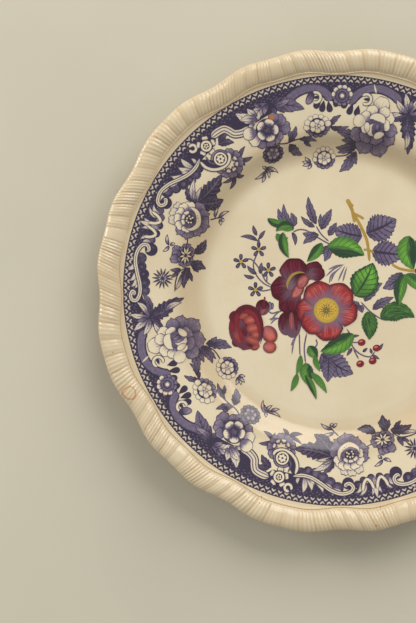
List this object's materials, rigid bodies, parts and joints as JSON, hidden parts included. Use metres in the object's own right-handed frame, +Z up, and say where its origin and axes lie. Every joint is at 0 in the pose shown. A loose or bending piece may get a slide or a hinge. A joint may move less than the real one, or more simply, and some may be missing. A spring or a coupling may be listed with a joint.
{
  "type": "dinner plate",
  "caption": "Round china dinner plate with a scalloped gadroon edge, a violet printed floral border and a painted bouquet in the well.",
  "frame": {"origin": "centre of the foot ring, on the plane that the plate stands on", "axes": "+Z up out of the well, along the plate's axis; +Y towards the top of the painted bouquet, +X to its right"},
  "size_m": [0.2664, 0.2666, 0.0248],
  "materials": {
    "glazed_clay": "cream earthenware under clear glaze",
    "violet_print": "engraved transfer print under clear glaze",
    "dark_violet_print": "dense engraved transfer print under clear glaze",
    "red_enamel": "hand-painted overglaze enamel",
    "maroon_enamel": "hand-painted overglaze enamel",
    "green_enamel": "hand-painted overglaze enamel",
    "yellow_enamel": "hand-painted overglaze enamel",
    "ochre_enamel": "hand-painted overglaze enamel"
  },
  "bodies": {
    "root": {"well": "glazed_clay", "cavetto": "glazed_clay", "rim": "glazed_clay", "gadroon_edge": "glazed_clay", "foot_ring": "glazed_clay", "border_ground_print": "dark_violet_print", "border_scroll_print": "violet_print", "border_flower_print": "violet_print", "border_leaf_print": "dark_violet_print", "centre_leaf_print": "dark_violet_print", "centre_stem_print": "violet_print", "wild_rose_enamel": "red_enamel", "dark_rose_enamel": "maroon_enamel", "peony_enamel": "red_enamel", "bud_enamel": "maroon_enamel", "berry_enamel": "red_enamel", "leaf_enamel": "green_enamel", "stamen_enamel": "yellow_enamel", "stem_enamel": "ochre_enamel"}
  },
  "joints": []
}
